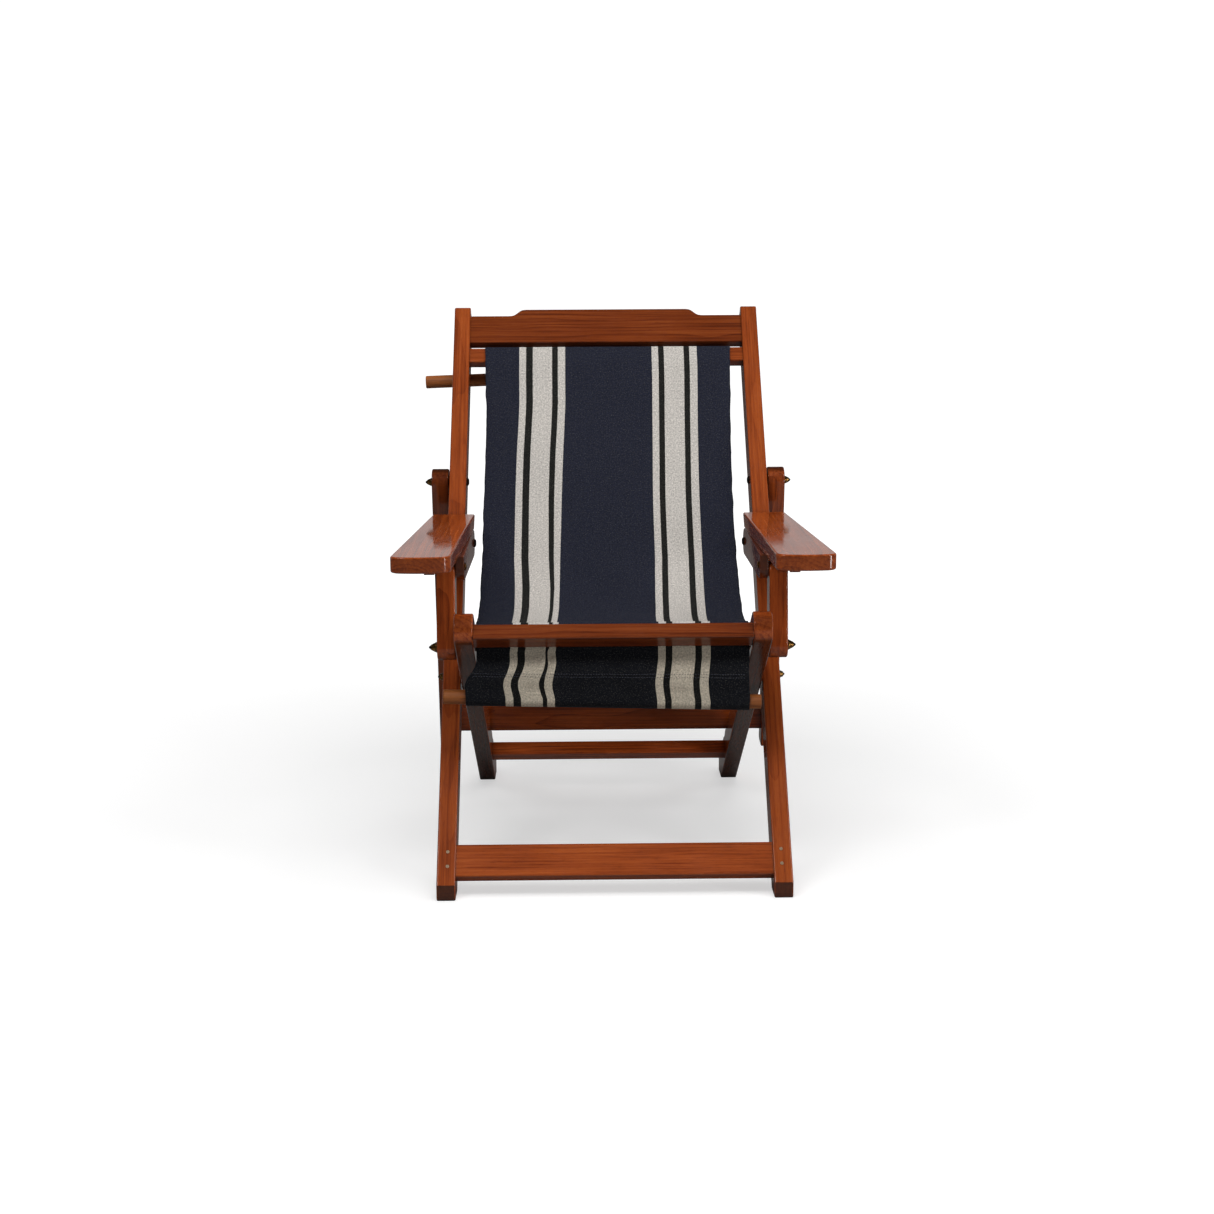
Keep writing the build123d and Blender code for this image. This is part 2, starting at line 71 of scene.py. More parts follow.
SHIFT = 398.85                      # the frame's origin lies this far behind the front toes

HALF_TOP, HALF_SEAT, HALF_HEM = 240.0, 230.5, 240.3   # half widths of the canvas
CLOTH_THICK = 0.0017                # m
COLS = 97                           # mesh columns across the canvas


def cos_sin(degrees):
    return math.cos(math.radians(degrees)), math.sin(math.radians(degrees))


BACK_COS, BACK_SIN = cos_sin(BACK_DEG)
SEAT_COS, SEAT_SIN = cos_sin(SEAT_DEG)
PROP_COS, PROP_SIN = cos_sin(PROP_DEG)


def back_point(along, off):
    """(y, z) at a distance along the long stiles and off their line."""
    return np.array([along * BACK_COS - off * BACK_SIN, TOE_Z + along * BACK_SIN + off * BACK_COS])


def seat_point(along, off):
    """(y, z) at a distance along the seat legs from the nose and off their line."""
    return np.array([NOSE_Y + along * SEAT_COS + off * SEAT_SIN,
                     NOSE_Z - along * SEAT_SIN + off * SEAT_COS])


def to_metres(points):
    return (points.reshape(-1, 3) - (0, SHIFT, 0)) / 1000.0


# ------------------------------------------------------------------ shader helpers
class Graph:
    """Adds linked nodes to the emptied node tree of a material or world."""

    def __init__(self, owner):
        owner.use_nodes = True
        self.tree = owner.node_tree
        self.tree.nodes.clear()

    def put(self, socket, value):
        if isinstance(value, bpy.types.NodeSocket):
            self.tree.links.new(value, socket)
        elif value is not None:
            socket.default_value = value

    def node(self, kind, inputs=None, **attrs):
        """A node with its attributes set and its inputs filled by index or name."""
        new = self.tree.nodes.new(kind)
        for attr, value in attrs.items():
            setattr(new, attr, value)
        for key, value in (inputs or {}).items():
            self.put(new.inputs[key], value)
        return new

    def math(self, op, a, b=None, c=None, clamp=False):
        return self.node("ShaderNodeMath", {0: a, 1: b, 2: c},
                         operation=op, use_clamp=clamp).outputs[0]

    def add(self, a, b):
        return self.math("ADD", a, b)

    def sub(self, a, b):
        return self.math("SUBTRACT", a, b)

    def mul(self, a, b):
        return self.math("MULTIPLY", a, b)

    def vmath(self, op, a, b=None):
        outputs = self.node("ShaderNodeVectorMath", {0: a, 1: b}, operation=op).outputs
        return outputs["Value" if op in ("DOT_PRODUCT", "LENGTH") else "Vector"]

    def xyz(self, x, y, z):
        return self.node("ShaderNodeCombineXYZ", {0: x, 1: y, 2: z}).outputs[0]

    def split(self, vector):
        return self.node("ShaderNodeSeparateXYZ", {0: vector}).outputs

    def coords(self, kind="Object"):
        return self.node("ShaderNodeTexCoord").outputs[kind]


# short names for the Principled inputs
SOCKETS = {
    "base": "Base Color", "rough": "Roughness", "metal": "Metallic", "normal": "Normal",
    "coat": "Coat Weight", "coat_rough": "Coat Roughness", "coat_ior": "Coat IOR",
    "coat_normal": "Coat Normal", "sheen": "Sheen Weight", "sheen_rough": "Sheen Roughness",
    "sheen_tint": "Sheen Tint", "spec": "Specular IOR Level",
    "glow": "Emission Color", "glow_strength": "Emission Strength",
}


class Material(Graph):
    """A material with one Principled shader."""

    def __init__(self, name):
        self.material = bpy.data.materials.new(name)
        super().__init__(self.material)
        out = self.node("ShaderNodeOutputMaterial")
        self.bsdf = self.node("ShaderNodeBsdfPrincipled")
        self.put(out.inputs[0], self.bsdf.outputs[0])

    def set(self, **values):
        for key, value in values.items():
            self.put(self.bsdf.inputs[SOCKETS[key]], value)

    def noise(self, vector, detail, rough, distort=0.0):
        inputs = {"Vector": vector, "Scale": 1.0, "Detail": detail,
                  "Roughness": rough, "Distortion": distort}
        return self.node("ShaderNodeTexNoise", inputs).outputs[0]

    def speckle(self, position, scale, detail, rough):
        """Noise scaled alike in all directions."""
        return self.noise(self.vmath("MULTIPLY", position, (scale, scale, scale)), detail, rough)

    def stretched(self, *axes, detail, rough, distort=0.0):
        """Noise whose three axes are each a (coordinate, scale) pair or a fixed number."""
        parts = [self.mul(*axis) if isinstance(axis, tuple) else axis for axis in axes]
        return self.noise(self.xyz(*parts), detail, rough, distort)

    def centred(self, value, gain):
        """A 0..1 noise turned into a swing about zero."""
        return self.mul(self.sub(value, 0.5), gain)

    def mix(self, share, a, b, mode="MIX"):
        return self.node("ShaderNodeMix", {0: share, 6: a, 7: b},
                         data_type="RGBA", blend_type=mode).outputs[2]

    def brighten(self, colour, gain):
        return self.mix(1.0, colour, self.xyz(gain, gain, gain), "MULTIPLY")

    def ramp(self, value, stops, interpolation="LINEAR"):
        new = self.node("ShaderNodeValToRGB", {0: value})
        ramp = new.color_ramp
        ramp.interpolation = interpolation
        while len(ramp.elements) > 1:
            ramp.elements.remove(ramp.elements[-1])
        ramp.elements[0].position, ramp.elements[0].color = stops[0]
        for position, colour in stops[1:]:
            ramp.elements.new(position).color = colour
        return new.outputs[0]

    def remap(self, value, source, target):
        """Carries the source range linearly to the target range, clamped."""
        inputs = dict(enumerate((value, *source, *target)))
        return self.node("ShaderNodeMapRange", inputs, clamp=True).outputs[0]

    def bump(self, height, distance, strength, normal=None):
        inputs = {"Height": height, "Distance": distance, "Strength": strength, "Normal": normal}
        return self.node("ShaderNodeBump", inputs).outputs[0]

    def bevel(self, radius):
        return self.node("ShaderNodeBevel", {"Radius": radius}, samples=4).outputs[0]

    def openness(self, distance):
        """Ambient occlusion: 1 in the open, falling towards 0 in corners."""
        return self.node("ShaderNodeAmbientOcclusion", {"Distance": distance},
                         samples=4).outputs["AO"]


def rgb(*channels):
    """sRGB 0-255 to a linear colour."""
    out = []
    for value in channels:
        value /= 255.0
        out.append(value / 12.92 if value <= 0.04045 else ((value + 0.055) / 1.055) ** 2.4)
    return (*out, 1.0)


# ------------------------------------------------------------------ wood
# "ramp" holds colours from dark to light grain; "edge" is the bare wood of worn arrises
VARNISHED = {
    "ramp": [(0.08, (0.070, 0.0110, 0.0020)), (0.30, (0.160, 0.0270, 0.0046)),
             (0.50, (0.265, 0.0500, 0.0085)), (0.72, (0.350, 0.0760, 0.0135)),
             (0.95, (0.450, 0.1150, 0.0230))],
    "pore": (0.030, 0.0060, 0.0016, 1), "pore_share": 0.38,
    "end": (0.026, 0.0070, 0.0022, 1),
    "edge": (0.50, 0.165, 0.050, 1), "edge_radius": 0.0016,
    "grain_depth": 0.00010,
}
PLAIN = {
    "ramp": [(0.1, (0.137, 0.038, 0.0075)), (0.5, (0.310, 0.094, 0.0200)),
             (0.9, (0.480, 0.170, 0.0450))],
    "pore": (0.10, 0.050, 0.020, 1), "pore_share": 0.3,
    "end": (0.16, 0.085, 0.036, 1),
    "edge": (0.58, 0.38, 0.20, 1), "edge_radius": 0.001,
    "grain_depth": 0.00025,
}
RING_PITCH = 0.0085
# dark colour painted into corners as shade
CORNER_SHADE = (0.012, 0.0040, 0.0018, 1)
# dark colour painted onto downward faces as shade
UNDERSIDE_SHADE = (0.021, 0.0100, 0.0055, 1)


def axes_from(long_axis):
    """The long axis and two more square to it."""
    long_axis = Vector(long_axis).normalized()
    other = Vector((1, 0, 0)) if abs(long_axis.x) < 0.8 else Vector((0, 0, 1))
    side = (other - long_axis * other.dot(long_axis)).normalized()
    return long_axis, side, long_axis.cross(side)


def wood(name, long_axis, seed, tone, centre, finish=VARNISHED, figure=1.0, end_stain=0.78,
         end_facing=(0.75, 0.97), under=0.0):
    """Wood with grain along long_axis and growth rings about a line near the centre.

    figure is the ring contrast, end_stain the darkening of end grain, end_facing the range of
    facing over which it sets in, and under the share of painted shade on the downward faces.
    """
    mat = Material(name)
    rng = np.random.RandomState(seed)
    long_axis, *sides = axes_from(long_axis)
    position = mat.coords()
    along = mat.add(mat.vmath("DOT_PRODUCT", position, tuple(long_axis)),
                    float(rng.uniform(3, 9)))
    across = [mat.sub(mat.vmath("DOT_PRODUCT", position, tuple(side)),
                      float(Vector(centre).dot(side))) for side in sides]
    ring_shift = rng.uniform(-1, 1, 2)

    def grain(along_scale, across_scale, detail, rough, distort=0.0):
        return mat.stretched((along, along_scale), (across[0], across_scale),
                             (across[1], across_scale),
                             detail=detail, rough=rough, distort=distort)

    # slow wander of the grain along the piece gives long flame figure
    wander = grain(2.6, 12.0, detail=2.0, rough=0.5)
    ring_b = mat.add(across[0], float(ring_shift[0] * 0.012 + 0.018))
    ring_c = mat.add(across[1], float(ring_shift[1] * 0.015 - 0.060))
    radius = mat.math("SQRT", mat.add(mat.mul(ring_b, ring_b), mat.mul(ring_c, ring_c)))
    radius = mat.add(radius, mat.mul(wander, 0.050))
    spacing = mat.stretched((radius, 60.0), 2.0, 4.0, detail=2.0, rough=0.5)
    phase = mat.add(mat.mul(radius, 1.0 / RING_PITCH), mat.mul(spacing, 2.2))
    # soft early wood, then a narrow dark late line
    ring = mat.math("POWER", mat.math("FRACT", phase), 3.0)

    streak = grain(3.2, 210.0, detail=4.0, rough=0.62, distort=0.1)
    fine = grain(14.0, 760.0, detail=3.0, rough=0.6)
    pores = mat.remap(grain(75.0, 1700.0, detail=1.0, rough=0.5), (0.60, 0.72), (0.0, 1.0))
    blotch = grain(5.0, 16.0, detail=3.0, rough=0.55)
    light = 0.5
    for layer, gain in ((streak, 0.80), (fine, 0.42), (blotch, 0.42)):
        light = mat.add(light, mat.centred(layer, gain))
    light = mat.sub(light, mat.mul(ring, 0.20 * figure))
    stops = [(at, (*(channel * tone for channel in colour), 1)) for at, colour in finish["ramp"]]
    col = mat.ramp(light, stops)
    col = mat.mix(mat.mul(pores, finish["pore_share"]), col, finish["pore"])

    # end grain drinks more stain
    normal = mat.node("ShaderNodeNewGeometry").outputs["Normal"]
    own_normal = mat.node("ShaderNodeVectorTransform", {0: normal}, vector_type="NORMAL",
                          convert_from="WORLD", convert_to="OBJECT").outputs[0]
    facing = mat.math("ABSOLUTE", mat.vmath("DOT_PRODUCT", own_normal, tuple(long_axis)))
    end = mat.remap(facing, end_facing, (0.0, 1.0))
    col = mat.mix(end, col, mat.mix(end_stain, col, finish["end"]))
    # painted shade: faces turned downwards darken, as under a light from above
    if under > 0.0:
        down = mat.vmath("DOT_PRODUCT", own_normal, (0.0, 0.0, -1.0))
        col = mat.mix(mat.remap(down, (0.45, 0.70), (0.0, under)), col, UNDERSIDE_SHADE)
    # painted shade: the wood darkens in corners and recesses, from an occlusion mask
    col = mat.mix(mat.remap(mat.openness(0.014), (0.35, 0.95), (0.60, 0.0)), col, CORNER_SHADE)
    # arrises worn in patches
    edge_normal = mat.bevel(finish["edge_radius"])
    worn = mat.sub(1.0, mat.vmath("DOT_PRODUCT", edge_normal, normal))
    patch = mat.remap(grain(30.0, 60.0, detail=3.0, rough=0.6), (0.50, 0.64), (0.0, 1.0))
    col = mat.mix(mat.mul(mat.remap(worn, (0.02, 0.16), (0.0, 0.55)), patch), col,
                  finish["edge"])

    smear = mat.speckle(position, 14.0, detail=4.0, rough=0.6)
    relief = mat.add(mat.mul(fine, 0.5), mat.mul(pores, -0.8))
    grain_normal = mat.bump(relief, finish["grain_depth"], strength=0.5, normal=edge_normal)
    if finish is VARNISHED:
        sag = grain(18.0, 50.0, detail=2.0, rough=0.5)
        film = mat.add(mat.mul(sag, 5.0), mat.mul(fine, 0.30))
        mat.set(base=col, rough=mat.remap(smear, (0.3, 0.7), (0.38, 0.52)), coat=1.0,
                coat_rough=mat.remap(smear, (0.3, 0.75), (0.045, 0.14)), coat_ior=1.48,
                normal=grain_normal, spec=0.06,
                coat_normal=mat.bump(film, 0.00006, strength=0.7, normal=edge_normal))
    else:
        mat.set(base=col, rough=mat.remap(smear, (0.3, 0.7), (0.45, 0.62)),
                normal=grain_normal, spec=0.35, coat=0.12, coat_rough=0.3)
    return mat.material


# ------------------------------------------------------------------ metals
def pale_brass(name):
    mat = Material(name)
    speck = mat.speckle(mat.coords(), 1200.0, detail=2.0, rough=0.5)
    col = mat.ramp(speck, [(0.3, rgb(112, 88, 64)), (0.7, rgb(196, 170, 138))])
    mat.set(base=col, metal=0.35, rough=0.38, spec=0.5)
    return mat.material


def brass(name, dull=0.0):
    """Tarnished brass; dull is added to the roughness."""
    mat = Material(name)
    position = mat.coords()
    tarnish = mat.speckle(position, 260.0, detail=3.0, rough=0.6)
    speck = mat.speckle(position, 1600.0, detail=2.0, rough=0.5)
    col = mat.ramp(tarnish, [(0.3, rgb(62, 40, 20)), (0.5, rgb(122, 88, 46)),
                             (0.72, rgb(176, 136, 80))])
    col = mat.mix(mat.remap(mat.openness(0.006), (0.4, 1.0), (0.8, 0.0)), col, rgb(52, 34, 16))
    edge_normal = mat.bevel(0.0006)
    mat.set(base=col, metal=1.0, rough=mat.remap(speck, (0.3, 0.7), (0.22 + dull, 0.42 + dull)),
            normal=mat.bump(speck, 0.00008, strength=0.5, normal=edge_normal))
    return mat.material


def iron(name):
    mat = Material(name)
    speck = mat.speckle(mat.coords(), 900.0, detail=3.0, rough=0.6)
    col = mat.ramp(speck, [(0.3, rgb(18, 15, 13)), (0.6, rgb(40, 34, 30)),
                           (0.82, rgb(96, 62, 40))])
    edge_normal = mat.bevel(0.0006)
    mat.set(base=col, metal=0.75, rough=mat.remap(speck, (0.3, 0.7), (0.34, 0.55)),
            normal=mat.bump(speck, 0.0001, strength=0.6, normal=edge_normal))
    return mat.material


# ------------------------------------------------------------------ canvas and thread
# woven bands from the -X selvedge: width in mm and yarn colour
BANDS = [
    (67, "navy"), (14, "white"), (12, "black"), (38, "white"), (12, "black"), (14, "white"),
    (171, "navy"), (14, "white"), (11.5, "black"), (38, "white"), (12, "black"),
    (14.5, "white"), (66, "navy"),
]
CLOTH_WIDTH = sum(width for width, _ in BANDS)
YARN_PITCH_ACROSS, YARN_PITCH_ALONG = 0.00095, 0.00105   # m
SLING_YARNS = {"navy": (0.0155, 0.0175, 0.0300, 1), "white": (0.545, 0.515, 0.478, 1),
               "black": (0.0120, 0.0120, 0.0112, 1)}
# the front hem's navy and black are darker than the sling's: painted shade for the hem hanging
# under the crossbar
SHADED_FRONT_YARNS = {"navy": (0.0062, 0.0070, 0.0098, 1), "white": (0.520, 0.462, 0.370, 1),
               "black": (0.0065, 0.0065, 0.0062, 1)}


def canvas(name, yarns):
    """Striped canvas; its UV runs 0..1 across and in metres along."""
    mat = Material(name)
    uv = mat.node("ShaderNodeUVMap", uv_map="UVMap").outputs[0]
    u, v, _ = mat.split(uv)
    across = mat.mul(u, CLOTH_WIDTH / 1000.0)

    def weave(across_scale, along_scale, layer, detail, rough):
        """Noise on the cloth in metres; layer picks a slice of the noise."""
        return mat.stretched((across, across_scale), (v, along_scale), layer,
                             detail=detail, rough=rough)

    # the band edges drift slowly and are ragged yarn by yarn
    drift = mat.stretched((u, 9.0), (v, 5.0), 0.0, detail=2.0, rough=0.5)
    ragged = weave(60.0, 900.0, 0.0, detail=1.0, rough=0.5)
    band_u = mat.add(u, mat.centred(drift, 0.0022))
    band_u = mat.add(band_u, mat.centred(ragged, 0.0016))
    stops, start = [], 0.0
    for width, yarn in BANDS:
        stops.append((start / CLOTH_WIDTH, yarns[yarn]))
        start += width
    col = mat.ramp(band_u, stops, "CONSTANT")

    # yarns: long soft streaks both ways, and the weave itself
    warp = weave(900.0, 7.0, 1.0, detail=3.0, rough=0.65)
    weft = weave(9.0, 850.0, 5.0, detail=3.0, rough=0.65)
    cross = mat.mul(mat.math("SINE", mat.mul(across, math.pi / YARN_PITCH_ACROSS)),
                    mat.math("SINE", mat.mul(v, math.pi / YARN_PITCH_ALONG)))
    dirt = weave(11.0, 8.0, 3.0, detail=4.0, rough=0.6)
    slub = weave(420.0, 330.0, 2.0, detail=3.0, rough=0.75)
    light = mat.add(mat.centred(warp, 0.42), mat.centred(weft, 0.34))
    light = mat.add(light, mat.mul(cross, 0.09))
    light = mat.add(light, mat.centred(dirt, 0.16))
    light = mat.add(light, mat.centred(slub, 1.15))
    col = mat.brighten(col, mat.add(1.0, light))
    # faint bloom of lint, then darker flecks
    lint = weave(260.0, 240.0, 9.0, detail=4.0, rough=0.7)
    col = mat.mix(mat.remap(lint, (0.60, 0.80), (0.0, 0.05)), col, rgb(150, 148, 150))
    flecks = weave(640.0, 520.0, 7.0, detail=1.0, rough=0.5)
    col = mat.mix(mat.remap(flecks, (0.58, 0.68), (0.0, 0.75)), col,
                  mat.mix(0.6, col, (0.10, 0.095, 0.085, 1)))
    mottle = weave(330.0, 290.0, 11.0, detail=2.0, rough=0.6)
    col = mat.brighten(col, mat.remap(mottle, (0.30, 0.70), (0.70, 1.24)))
    soil = mat.remap(dirt, (0.56, 0.8), (0.0, 0.08))
    col = mat.mix(soil, col, mat.mix(1.0, col, (0.86, 0.78, 0.66, 1), "MULTIPLY"))
    height = mat.add(mat.mul(cross, 0.5), mat.mul(mat.add(warp, weft), 0.8))
    mat.set(base=col, rough=0.92, sheen=0.05, sheen_rough=0.4, spec=0.10,
            normal=mat.bump(height, 0.00035, strength=0.6), sheen_tint=(0.75, 0.78, 0.86, 1))
    return mat.material


def thread_material(name, colour):
    mat = Material(name)
    speck = mat.speckle(mat.coords(), 2500.0, detail=2.0, rough=0.5)
    dark = (*(channel * 0.5 for channel in colour[:3]), 1)
    mat.set(base=mat.mix(mat.remap(speck, (0.35, 0.65), (0.0, 0.5)), colour, dark),
            rough=0.7, sheen=0.2, spec=0.3)
    return mat.material


# ------------------------------------------------------------------ materials of the CAD pieces
ACROSS = (1, 0, 0)
BACK = (0, BACK_COS, BACK_SIN)
SEAT = (0, SEAT_COS, -SEAT_SIN)
PROP = (0, PROP_SIN, -PROP_COS)
ARM = (0, *cos_sin(ARM_DEG))
POST = (0, 0.119, 0.993)
# piece: grain direction and tone
WOODS = {
    "left_long_stile": (BACK, 1.12), "right_long_stile": (BACK, 1.08),
    "crest_rail": (ACROSS, 0.66), "slot_rail": (ACROSS, 0.95),
    "front_foot_rail": (ACROSS, 1.20), "front_crossbar": (ACROSS, 0.66),
    "left_seat_leg": (SEAT, 1.40), "right_seat_leg": (SEAT, 1.38),
    "seat_slot_rail": (ACROSS, 0.9), "rear_stretcher": (ACROSS, 2.2),
    # painted shade: the left prop stile is darkened to the shade it sits in, well below the right
    # one
    "left_prop_stile": (PROP, 0.50), "right_prop_stile": (PROP, 0.90),
    "prop_rail": (ACROSS, 1.2),
    "left_arm_board": (ARM, 1.25), "right_arm_board": (ARM, 1.22),
    "left_arm_bearer": (ARM, 0.9), "right_arm_bearer": (ARM, 0.9),
    "left_arm_cleat": (ARM, 0.9), "right_arm_cleat": (ARM, 0.9),
    "left_arm_post": (POST, 1.60), "right_arm_post": (POST, 1.26),
}
# darkening of the end grain where it differs from the usual
END_STAIN = {
    "left_arm_board": 0.38, "right_arm_board": 0.34, "left_seat_leg": 0.50,
    "right_seat_leg": 0.50, "left_long_stile": 0.84, "right_long_stile": 0.82,
}


def frame_wood(piece, seed):
    low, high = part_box(piece)
    axis, tone = WOODS[piece]
    looks = {}
    # on the long stiles the end-grain darkening reaches the vertical toe cuts: partly end grain,
    # partly painted shade
    if "long_stile" in piece:
        looks["end_facing"] = (0.50, 0.60)
    if "long_stile" in piece or piece == "front_foot_rail":
        looks["figure"] = 0.55
    if "seat_leg" in piece:
        # painted shade on the seat legs' undersides
        looks["under"] = 0.80
    if piece in END_STAIN:
        looks["end_stain"] = END_STAIN[piece]
    return wood("wood_" + piece, axis, seed, tone, (low + high) / 2, **looks)


def rod_wood(piece, seed):
    low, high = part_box(piece)
    tone = 1.12 if piece.startswith("top") else 0.84
    return wood("rodwood_" + piece, ACROSS, seed, tone, (low + high) / 2, PLAIN)


PALE_BRASS = pale_brass("worn_brass")
BRASS = brass("aged_brass")
DULL_BRASS = brass("dull_brass", dull=0.12)
IRON = iron("black_iron")

for i, (piece, ob) in enumerate(sorted(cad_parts.items())):
    if piece in WOODS:
        material, slot = frame_wood(piece, 40 + i), "varnished_wood"
    elif piece.endswith("canvas_rod"):
        material, slot = rod_wood(piece, 90 + i), "rod_wood"
    elif "bolts" in piece:
        material, slot = IRON, "black_iron"
    elif "screws" in piece:
        material, slot = PALE_BRASS, "brass"
    elif "washers" in piece:
        material, slot = DULL_BRASS, "brass"
    elif "canvas" in piece:
        continue
    else:
        material, slot = BRASS, "brass"
    ob.data.materials.clear()
    ob.data.materials.append(material)
    ob.data.polygons.foreach_set("material_index", [0] * len(ob.data.polygons))


# ------------------------------------------------------------------ curve and mesh helpers
def arc(centre_y, centre_z, radius, from_deg, to_deg, count):
    """Points on an arc, angles from +Y towards +Z."""
    return [np.array([centre_y + radius * math.cos(math.radians(angle)),
                      centre_z + radius * math.sin(math.radians(angle))])
            for angle in np.linspace(from_deg, to_deg, count)]


def run_lengths(points):
    """Distance travelled along the points."""
    return np.r_[0, np.cumsum(np.linalg.norm(np.diff(points, axis=0), axis=1))]


def resample(points, step):
    """Points spaced evenly, about a step apart."""
    points = np.array(points)
    run = run_lengths(points)
    count = max(2, int(round(run[-1] / step)) + 1)
    even = np.linspace(0, run[-1], count)
    return np.c_[np.interp(even, run, points[:, 0]), np.interp(even, run, points[:, 1])]


def catmull(points, count):
    """Catmull-Rom curve through the points, with count steps per span."""
    knots = [np.array(point, float) for point in points]
    knots = [2 * knots[0] - knots[1]] + knots + [2 * knots[-1] - knots[-2]]
    out = []
    for i in range(1, len(knots) - 2):
        a, b, c, d = knots[i - 1:i + 3]
        for k in range(count):
            s = k / count
            out.append(0.5 * ((2 * b) + (c - a) * s + (2 * a - 5 * b + 4 * c - d) * s * s
                              + (3 * b - a - 3 * c + d) * s ** 3))
    out.append(knots[-2])
    return out


def smooth(x, low, high):
    """Smooth step from 0 at low to 1 at high."""
    s = np.clip((x - low) / (high - low), 0, 1)
    return s * s * (3 - 2 * s)


def value_noise(seed):
    """Smooth seeded noise on a plane, about -1..1."""
    cells = np.random.RandomState(seed).uniform(-1, 1, (64, 64))

    def sample(x, y):
        col, row = np.floor(x).astype(int), np.floor(y).astype(int)
        fx, fy = x - col, y - row
        fx, fy = fx * fx * (3 - 2 * fx), fy * fy * (3 - 2 * fy)
        a, b = cells[col % 64, row % 64], cells[(col + 1) % 64, row % 64]
        c, d = cells[col % 64, (row + 1) % 64], cells[(col + 1) % 64, (row + 1) % 64]
        return (a * (1 - fx) + b * fx) * (1 - fy) + (c * (1 - fx) + d * fx) * fy

    return sample


NOISES = [value_noise(seed) for seed in range(6)]

# shares of the width, with one close column inside each selvedge
COLUMN_U = np.linspace(0, 1, COLS)
COLUMN_U[1], COLUMN_U[-2] = 0.006, 0.994


def selvedge(share):
    """0 over the cloth, rising to 1 at both selvedges."""
    return np.clip(np.abs(2 * share - 1) - 0.93, 0, 1) / 0.07


def by_side(share, first, second):
    """One value on the -X half of the cloth and another on the +X half."""
    return np.where(share < 0.5, first, second)


def mesh_object(name, points, faces):
    """Smooth-shaded object from an array of points in mm."""
    mesh = bpy.data.meshes.new(name)
    mesh.from_pydata(to_metres(points).tolist(), [], faces)
    mesh.update()
    mesh.polygons.foreach_set("use_smooth", [True] * len(mesh.polygons))
    ob = bpy.data.objects.new(name, mesh)
    bpy.context.scene.collection.objects.link(ob)
    return ob


def grid_object(name, grid, u, v):
    """Quad mesh of a (row, column, xyz) grid, with u per vertex or column and v per row."""
    size = grid.shape[:2]
    index = np.arange(size[0] * size[1]).reshape(size)
    corners = (index[:-1, :-1], index[:-1, 1:], index[1:, 1:], index[1:, :-1])
    ob = mesh_object(name, grid, np.stack(corners, -1).reshape(-1, 4).tolist())
    mesh = ob.data
    layer = mesh.uv_layers.new(name="UVMap")
    uvs = np.stack([np.broadcast_to(u, size), np.broadcast_to(v[:, None], size)], -1)
    loops = np.zeros(len(mesh.loops), np.int32)
    mesh.loops.foreach_get("vertex_index", loops)
    layer.data.foreach_set("uv", uvs.reshape(-1, 2)[loops].astype(np.float32).ravel())
    return ob


def thicken(ob):
    """Gives the cloth its thickness, applied to the mesh."""
    solid = ob.modifiers.new("thick", "SOLIDIFY")
    solid.thickness = CLOTH_THICK
    solid.offset = 0.0
    graph = bpy.context.evaluated_depsgraph_get()
    mesh = bpy.data.meshes.new_from_object(ob.evaluated_get(graph),
                                           preserve_all_data_layers=True, depsgraph=graph)
    ob.modifiers.clear()
    old = ob.data
    ob.data = mesh
    bpy.data.meshes.remove(old)


# ------------------------------------------------------------------ sling profile, (y, z) in mm
# From the free edge of the top hem, round the top rod, up over the slot rail, down the hanging
# cloth and over the seat slot rail to just inside its slot.
SLOT_EDGE = 1113.6                  # along the stiles to the corners of the slot rail
SLOT_CORNER_R = 4.0
SEAT_CORNER_R = 7.5
FLAP_TOP = 872.0                    # height at which the rod's tilt has died out of the flap

top_hem = resample(catmull([
    (TOP_Y - LOOP_R - 3.6, TOP_Z + 31.0), (TOP_Y - LOOP_R - 0.4, TOP_Z + 24.0),
    (TOP_Y - 6.5, TOP_Z + 19.0), (TOP_Y + LOOP_R * 0.86, TOP_Z + LOOP_R * 0.62)], 10), 3.0)
rod_loop = resample(arc(TOP_Y, TOP_Z, LOOP_R, 30, -180, 40), 3.0)
rear_y, rear_z = back_point(SLOT_EDGE, -20.6)
flap_end_point = (rear_y + SLOT_CORNER_R, rear_z - 3.0)
flap = resample(catmull([
    (TOP_Y - LOOP_R, TOP_Z + 1.0), (TOP_Y - LOOP_R - 1.2, TOP_Z + 13.0),
    (rear_y + 5.2, rear_z - 12.0), flap_end_point], 8), 4.0)
over_slot = (
    arc(rear_y, rear_z, SLOT_CORNER_R, 0.0, BACK_DEG, 6)
    + arc(*back_point(SLOT_EDGE, -5.4), SLOT_CORNER_R, BACK_DEG, BACK_DEG + 90, 7))
down_rail = resample([back_point(1111.0, -1.4), back_point(1090.0, -1.2)], 5.0)
hang_start_point, hang_end_point = back_point(1084.0, -1.2), seat_point(71.0, 27.8)
hang = resample(catmull([
    hang_start_point, (650.0, 806.0), (618.0, 757.5), (546.0, 648.0), (490.0, 573.0),
    (437.0, 513.0), (360.0, 457.0), (285.0, 435.5), (215.0, 430.5), (165.0, 435.0),
    hang_end_point], 14), 6.2)
seat_normal = 90 - SEAT_DEG
over_seat = (
    arc(*seat_point(63.0, 20.5), SEAT_CORNER_R, seat_normal - 20, seat_normal, 4)
    + arc(*seat_point(45.0, 20.5), SEAT_CORNER_R, seat_normal, seat_normal + 90 - 4, 9))
into_slot = resample([seat_point(35.0, 12.0), seat_point(33.2, -2.0),
                      seat_point(32.4, -14.0)], 5.0)
profile = np.vstack([top_hem, rod_loop[1:], flap[1:], np.array(over_slot), down_rail, hang,
                     np.array(over_seat), into_slot])
# drop rows that crowd the one before
profile = profile[np.r_[True, np.linalg.norm(np.diff(profile, axis=0), axis=1) > 0.8]]
length = run_lengths(profile)
rows = len(profile)


